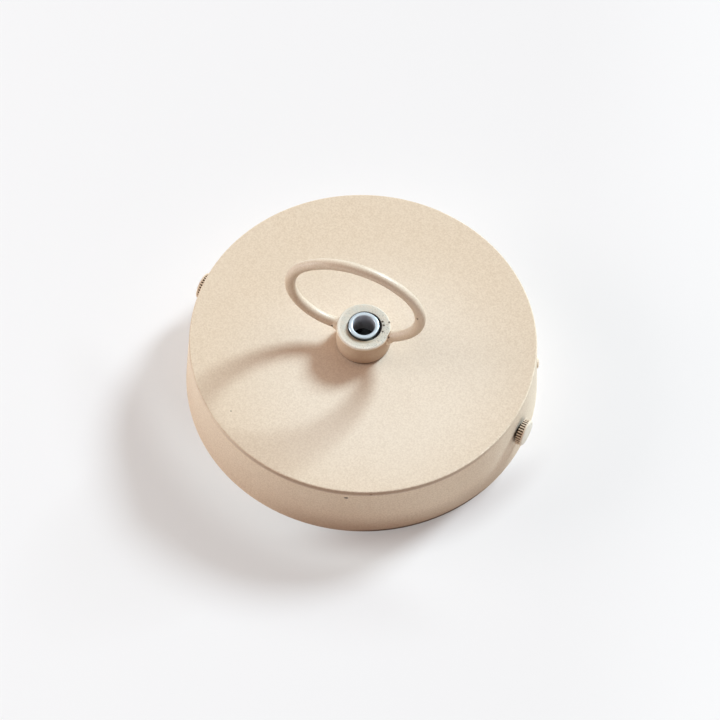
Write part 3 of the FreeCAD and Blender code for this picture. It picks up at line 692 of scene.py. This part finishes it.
def weld_bead(name, out, height, rise):
    """A lumpy trumpet round the wire at a point of the ring's plane."""
    rows = 10
    steps = 28
    along = Vector((math.cos(math.radians(rise)), 0, math.sin(math.radians(rise))))
    side = Vector((0, 1, 0))
    up = along.cross(side)
    shape = bmesh.new()
    loops = []
    for row in range(rows + 1):
        share = row / rows
        middle = Vector((out, 0, height)) + along * (share * (WELD_REACH + WELD_SINK) - WELD_SINK)
        loop = []
        for step in range(steps):
            angle = 2 * math.pi * step / steps
            around = side * math.cos(angle) + up * math.sin(angle)
            lump = noise.noise((middle + around * WIRE_RADIUS) * LUMPS_PER_METRE)
            flare = WELD_FLARE * (1 - share) ** 2 * (1 + FLARE_LUMPS * lump)
            swell = WIRE_RADIUS * WELD_LUMPS * max(lump, 0) * math.sin(math.pi * share)
            point = middle + around * (BEAD_RADIUS + flare + swell)
            if point.xy.length < COLLAR_RADIUS:
                point.z = min(point.z, COLLAR_TOP - COLLAR_EDGE)
            loop.append(shape.verts.new(point))
        loops.append(loop)
    for loop, following in zip(loops, loops[1:]):
        for step in range(steps):
            after = (step + 1) % steps
            shape.faces.new((loop[step], loop[after], following[after], following[step]))
    shape.faces.new(loops[0])
    shape.faces.new(loops[-1])
    bmesh.ops.recalc_face_normals(shape, faces=shape.faces)
    shape.transform(Matrix.Rotation(RING_TURN, 4, "Z"))
    mesh = bpy.data.meshes.new(name)
    shape.to_mesh(mesh)
    shape.free()
    soften(mesh, sharp=60)
    return mesh


weld_coat = sand_coat("sand coat of the welds", WELD_MARKS)[0]
for name, place_on_ring in WELDS.items():
    bead = weld_bead(name, *place_on_ring)
    bead.materials.append(weld_coat)
    new_piece(name, bead, "loop", "sand_coat")


# Knurled side screws
# Turned steel screws with an M4 thread; their heads are knurled for the fingers and coated.
# They pass through the cup's wall into the strap's lugs and hold the cup to the ceiling.
SCREW_SEATS = {"right": 0.0601, "left": 0.05965}
SCREW_HEIGHT = 0.013
SHANK_LENGTH = 0.0084
SHANK_ROOT = 0.00162
SHANK_PITCH = 0.0007
SHANK_PLAIN = 0.0016
SHANK_POINT = 0.0005
SHANK_ROUGHNESS = 0.34
HEAD_RADIUS = 0.0046
HEAD_BAND = 0.0019
HEAD_EDGE = 0.0006
HEAD_DEPTH = 0.00265
HEAD_CROWN = 0.00003
HEAD_SINK = 0.0001
KNURL_TEETH = 30
KNURL_ROOT = 0.00418
TOOTH_FOOT = 0.00084
TOOTH_CREST = 0.00034
BLANK_EDGE = 0.0003
GROOVE_BROWN = (0.11, 0.065, 0.04, 1)
# Painted highlight for the head's face.
HEAD_HIGHLIGHT_PALE = (0.83, 0.79, 0.71, 1)
# Painted shade for the head's underside.
GAP_SHADE_DARK = (0.035, 0.022, 0.015, 1)
SHANK_ZINC = (0.66, 0.70, 0.74, 1)


def knurl_rule():
    """Straight teeth set round a core, each a bar with sloping flanks."""
    tree, given = new_rule(
        "knurl", Teeth="Int", Root="Float", Tip="Float", Foot="Float", Crest="Float", Band="Float",
    )
    height = calc(tree, "SUBTRACT", given["Tip"], given["Root"])
    flank = tree.nodes.new("GeometryNodeCurvePrimitiveQuadrilateral")
    flank.mode = "TRAPEZOID"
    put(tree, flank.inputs["Height"], height)
    put(tree, flank.inputs["Bottom Width"], given["Foot"])
    put(tree, flank.inputs["Top Width"], given["Crest"])
    flank.inputs["Offset"].default_value = 0.0
    far = add(tree, "ShaderNodeCombineXYZ", Z=given["Band"])
    path = add(tree, "GeometryNodeCurvePrimitiveLine", End=far.outputs[0])
    tooth = add(tree, "GeometryNodeCurveToMesh", Curve=path.outputs[0])
    put(tree, tooth.inputs["Profile Curve"], flank.outputs[0])
    tooth.inputs["Fill Caps"].default_value = True
    half_way = calc(tree, "MULTIPLY", calc(tree, "ADD", given["Tip"], given["Root"]), 0.5)
    circle = add(tree, "GeometryNodeMeshCircle", Vertices=given["Teeth"], Radius=half_way)
    outwards = tree.nodes.new("FunctionNodeAlignRotationToVector")
    outwards.axis = "Y"
    outwards.pivot_axis = "Z"
    put(tree, outwards.inputs["Vector"], tree.nodes.new("GeometryNodeInputPosition").outputs[0])
    teeth = add(tree, "GeometryNodeInstanceOnPoints", Points=circle.outputs[0], Instance=tooth.outputs[0])
    put(tree, teeth.inputs["Rotation"], outwards.outputs[0])
    close_rule(tree, given, teeth.outputs[0])
    return tree


def screw_coat(name, seat):
    """Sand coat on the head, darker between the teeth, with a painted highlight on the face, painted shade
    on the head's underside, and bare zinc on the shank.
    """
    finish, tree, shader, place, colour = sand_coat(name)
    parts = add(tree, "ShaderNodeSeparateXYZ", Vector=place).outputs
    out = calc(tree, "ABSOLUTE", parts[0])
    rise = calc(tree, "SUBTRACT", parts[2], SCREW_HEIGHT)
    across = from_axis(tree, parts[1], rise)
    groove = ramp(tree, across, KNURL_ROOT + 0.00018, HEAD_RADIUS - 0.00002, 1.0, 0.0)
    on_band = ramp(tree, out, seat + HEAD_BAND - 0.0002, seat + HEAD_BAND, 1.0, 0.0)
    colour = blend_colours(tree, calc(tree, "MULTIPLY", groove, on_band), colour, GROOVE_BROWN)
    # A painted highlight on the head's face.
    on_face = ramp(tree, out, seat + HEAD_BAND, seat + HEAD_DEPTH, 0.0, 0.6)
    colour = blend_colours(tree, on_face, colour, HEAD_HIGHLIGHT_PALE)
    # Painted shade on the head's underside, in the gap by the wall.
    under = ramp(tree, out, seat - 0.0001, seat + 0.0002, 1.0, 0.0)
    colour = blend_colours(tree, under, colour, GAP_SHADE_DARK)
    shank = ramp(tree, out, seat - 0.0014, seat - 0.0011, 1.0, 0.0)
    tree.links.new(blend_colours(tree, shank, colour, SHANK_ZINC), shader.inputs["Base Color"])
    tree.links.new(shank, shader.inputs["Metallic"])
    tree.links.new(ramp(tree, shank, 0.0, 1.0, COAT_ROUGHNESS, SHANK_ROUGHNESS), shader.inputs["Roughness"])
    return finish


knurl = knurl_rule()
for end, side in (("right", 1), ("left", -1)):
    seat = SCREW_SEATS[end]
    head_coat = screw_coat(f"sand coat of the {end} side screw", seat)
    blank = turned(f"side_screw_{end}", [
        (0, -SHANK_LENGTH),
        (SHANK_ROOT - BLANK_EDGE, -SHANK_LENGTH),
        (SHANK_ROOT, BLANK_EDGE - SHANK_LENGTH),
        (SHANK_ROOT, 0),
        (KNURL_ROOT - BLANK_EDGE, 0),
        (KNURL_ROOT, BLANK_EDGE),
        (KNURL_ROOT, HEAD_BAND - HEAD_SINK),
        (HEAD_RADIUS, HEAD_BAND - HEAD_SINK),
        *arc(HEAD_RADIUS - HEAD_EDGE, HEAD_BAND, HEAD_EDGE, 0, 80),
        (0.6 * HEAD_RADIUS, HEAD_DEPTH - HEAD_CROWN),
        (0, HEAD_DEPTH),
    ], False, steps=90)
    knurled = follow_rule(
        knurl, blank, Finish=head_coat, Teeth=KNURL_TEETH, Root=KNURL_ROOT - HEAD_SINK, Tip=HEAD_RADIUS,
        Foot=TOOTH_FOOT, Crest=TOOTH_CREST, Band=HEAD_BAND,
    )
    screw = follow_rule(
        thread, knurled, Finish=head_coat, Radius=SHANK_ROOT, Pitch=SHANK_PITCH,
        Turns=(SHANK_LENGTH - SHANK_PLAIN) / SHANK_PITCH, Foot=SHANK_POINT - SHANK_LENGTH,
    )
    outwards = Matrix.Rotation(side * math.pi / 2, 4, "Y")
    screw.transform(Matrix.Translation((side * seat, 0, SCREW_HEIGHT)) @ outwards)
    soften(screw)
    new_piece(f"side_screw_{end}", screw, f"{end}_screw", "sand_coat", f"thumbscrew_{end}")


# Stop pip
# A low round pip pressed out of the cup's wall and coated over.
PIP_TURN = math.radians(26.5)
PIP_HEIGHT = 0.013
PIP_RADIUS = 0.0019
PIP_PROUD = 0.0007
PIP_SUNK = -0.0006
PIP_STEPS = 8
WALL_RADIUS = 0.05939
quarter = [math.pi / 2 * step / PIP_STEPS for step in range(PIP_STEPS + 1)]
pip = turned("wall_pip", [
    (0, PIP_SUNK),
    (PIP_RADIUS, PIP_SUNK),
    *((PIP_RADIUS * math.cos(angle), PIP_PROUD * math.sin(angle)) for angle in quarter),
], False, steps=48)
pip.transform(
    Matrix.Rotation(PIP_TURN, 4, "Z") @ Matrix.Translation((WALL_RADIUS, 0, PIP_HEIGHT))
    @ Matrix.Rotation(math.pi / 2, 4, "Y")
)
soften(pip)
pip.materials.append(weld_coat)
new_piece("wall_pip", pip, "rose", "sand_coat")


# White floor
# A plain pale ground under the rim, with painted contact shade close to the wall in front, painted bounce
# light close to it on the left, and a little more glow to the right, as seen by the camera.
# It throws less light up at the wall on the side that the main lamp lights already.
FLOOR_HALF = 3.0
BOUNCE_FRONT = (0.95, 0.92, 0.88, 1)
BOUNCE_BACK = (0.25, 0.25, 0.25, 1)
BOUNCE_BACK_TOWARDS = 85
BOUNCE_BACK_REACH = (0.0, 0.07)
SEEN_TINT = (0.97, 0.83, 0.80, 1)
GLOW_COLOUR = (0.86, 0.965, 0.985, 1)
GLOW_SHARE = 0.47
SHADE_START = 0.0605
SHADE_END = 0.0735
SHADE_TOWARDS = -42
SHADE_REACH = (0.045, 0.061)
SHADE_SHARE = 0.48
SPILL_START = 0.062
SPILL_MIDDLE = 0.082
SPILL_END = 0.11
SPILL_TOWARDS = -104
SPILL_REACH = (0.046, 0.064)
BRIGHTER_TOWARDS = 25.5
BRIGHTER_REACH = (0.06, 0.13)
BRIGHTER_LEVEL = 1.12
floor_mesh = bpy.data.meshes.new("floor")
corners = [(x * FLOOR_HALF, y * FLOOR_HALF, 0) for x, y in ((-1, -1), (1, -1), (1, 1), (-1, 1))]
floor_mesh.from_pydata(corners, [], [(0, 1, 2, 3)])
floor = bpy.data.objects.new("floor", floor_mesh)
bpy.context.scene.collection.objects.link(floor)
paper, tree, shader = new_finish("white ground")
tree.nodes.remove(shader)
rays = tree.nodes.new("ShaderNodeLightPath")
seen = calc(tree, "MAXIMUM", rays.outputs["Is Camera Ray"], rays.outputs["Is Glossy Ray"])
place = add(tree, "ShaderNodeTexCoord").outputs["Object"]
parts = add(tree, "ShaderNodeSeparateXYZ", Vector=place).outputs
behind = ramp(tree, facing(tree, parts, BOUNCE_BACK_TOWARDS), *BOUNCE_BACK_REACH)
bounce = blend_colours(tree, behind, BOUNCE_FRONT, BOUNCE_BACK)
tint = blend_colours(tree, seen, bounce, SEEN_TINT)
matte = add(tree, "ShaderNodeBsdfDiffuse", Color=tint)
across = from_axis(tree, parts[0], parts[1])
# Painted contact shade near the wall in front, and painted bounce light near it on the left.
shade = ramp(tree, across, SHADE_START, SHADE_END, 1.0, 0.0)
in_front = ramp(tree, facing(tree, parts, SHADE_TOWARDS), *SHADE_REACH, 0.0, SHADE_SHARE)
spill = ramp(tree, across, SPILL_START, SPILL_MIDDLE, 0.16, -0.12)
spill = calc(tree, "MULTIPLY", spill, ramp(tree, across, SPILL_MIDDLE, SPILL_END, 1.0, 0.0))
on_left = ramp(tree, facing(tree, parts, SPILL_TOWARDS), *SPILL_REACH)
on_right = ramp(tree, facing(tree, parts, BRIGHTER_TOWARDS), *BRIGHTER_REACH, 1.0, BRIGHTER_LEVEL)
level = calc(tree, "SUBTRACT", on_right, calc(tree, "MULTIPLY", shade, in_front))
level = calc(tree, "ADD", level, calc(tree, "MULTIPLY", spill, on_left))
glow = add(tree, "ShaderNodeEmission", Color=GLOW_COLOUR, Strength=level)
mixed = tree.nodes.new("ShaderNodeMixShader")
put(tree, mixed.inputs[0], calc(tree, "MULTIPLY", seen, GLOW_SHARE))
put(tree, mixed.inputs[1], matte.outputs[0])
put(tree, mixed.inputs[2], glow.outputs[0])
tree.links.new(mixed.outputs[0], tree.nodes["Material Output"].inputs["Surface"])
floor_mesh.materials.append(paper)


# Studio light
# A fairly soft lamp from behind on the right with a wide halo above it, a softbox low on the left,
# a weak cool card low in front on the right, and a weak warm fill all round.
KEY_AZIMUTH = math.radians(71.5)
KEY_ELEVATION = math.radians(32.3)
KEY_STRENGTH = 3.7
KEY_COLOUR = (0.768, 1.007, 1.143)
KEY_SPREAD = math.radians(15)
HALO_ELEVATION = math.radians(50)
HALO_STRENGTH = 0.54
HALO_COLOUR = (0.93, 0.92, 0.85)
HALO_SPREAD = math.radians(55)
SOFTBOX_AZIMUTH = math.radians(200)
SOFTBOX_ELEVATION = math.radians(16)
PANEL_DISTANCE = 1.5
PANEL_SIZE = 0.9
SOFTBOX_POWER = 13.2
SOFTBOX_COLOUR = (0.90, 0.94, 0.95)
CARD_AZIMUTH = math.radians(-25)
CARD_ELEVATION = math.radians(8)
CARD_POWER = 2.2
CARD_COLOUR = (0.75, 0.95, 1.05)
FILL_COLOUR = (0.25, 0.145, 0.105, 1)
SURROUND_COLOUR = (0.92, 0.92, 0.92, 1)


def towards(azimuth, elevation):
    """The direction from the part to a lamp."""
    level = math.cos(elevation)
    return Vector((math.cos(azimuth) * level, math.sin(azimuth) * level, math.sin(elevation)))


def hang_lamp(light, direction, distance):
    """Puts a lamp in a direction from the part and points it at the part."""
    lamp = bpy.data.objects.new(light.name, light)
    lamp.location = direction * distance
    lamp.rotation_euler = direction.to_track_quat("Z", "Y").to_euler()
    lamp.visible_camera = False
    bpy.context.scene.collection.objects.link(lamp)


key = bpy.data.lights.new("key", "SUN")
key.energy = KEY_STRENGTH
key.color = KEY_COLOUR
key.angle = KEY_SPREAD
hang_lamp(key, towards(KEY_AZIMUTH, KEY_ELEVATION), 1.0)
halo = bpy.data.lights.new("halo", "SUN")
halo.energy = HALO_STRENGTH
halo.color = HALO_COLOUR
halo.angle = HALO_SPREAD
hang_lamp(halo, towards(KEY_AZIMUTH, HALO_ELEVATION), 1.0)
for name, power, tint, direction in (
    ("softbox", SOFTBOX_POWER, SOFTBOX_COLOUR, towards(SOFTBOX_AZIMUTH, SOFTBOX_ELEVATION)),
    ("card", CARD_POWER, CARD_COLOUR, towards(CARD_AZIMUTH, CARD_ELEVATION)),
):
    panel = bpy.data.lights.new(name, "AREA")
    panel.energy = power
    panel.color = tint
    panel.size = PANEL_SIZE
    hang_lamp(panel, direction, PANEL_DISTANCE)
world = bpy.data.worlds.new("studio")
bpy.context.scene.world = world
world.use_nodes = True
tree = world.node_tree
rays = tree.nodes.new("ShaderNodeLightPath")
seen = calc(tree, "MAXIMUM", rays.outputs["Is Camera Ray"], rays.outputs["Is Glossy Ray"])
seen = calc(tree, "MAXIMUM", seen, rays.outputs["Is Transmission Ray"])
sky = blend_colours(tree, seen, FILL_COLOUR, SURROUND_COLOUR)
tree.links.new(sky, tree.nodes["Background"].inputs["Color"])


# Camera at the photograph's angle
# A long lens looking down on the cup's face, turned a little about its own axis.
VIEW_AZIMUTH = math.radians(25.5)
VIEW_ELEVATION = math.radians(59.06)
VIEW_ROLL = math.radians(2.34)
VIEW_DISTANCE = 1.764
VIEW_TARGET = Vector((-0.00383, 0.00609, 0))
LENS = 257.25
back = towards(VIEW_AZIMUTH - math.pi / 2, VIEW_ELEVATION)
right = Vector((math.cos(VIEW_AZIMUTH), math.sin(VIEW_AZIMUTH), 0))
turn = Matrix((right, back.cross(right), back)).transposed() @ Matrix.Rotation(VIEW_ROLL, 3, "Z")
lens = bpy.data.cameras.new("camera")
lens.lens = LENS
camera = bpy.data.objects.new("camera", lens)
camera.matrix_world = Matrix.Translation(VIEW_TARGET + VIEW_DISTANCE * back) @ turn.to_4x4()
bpy.context.scene.collection.objects.link(camera)
bpy.context.scene.camera = camera
bpy.context.scene.view_settings.view_transform = "Standard"
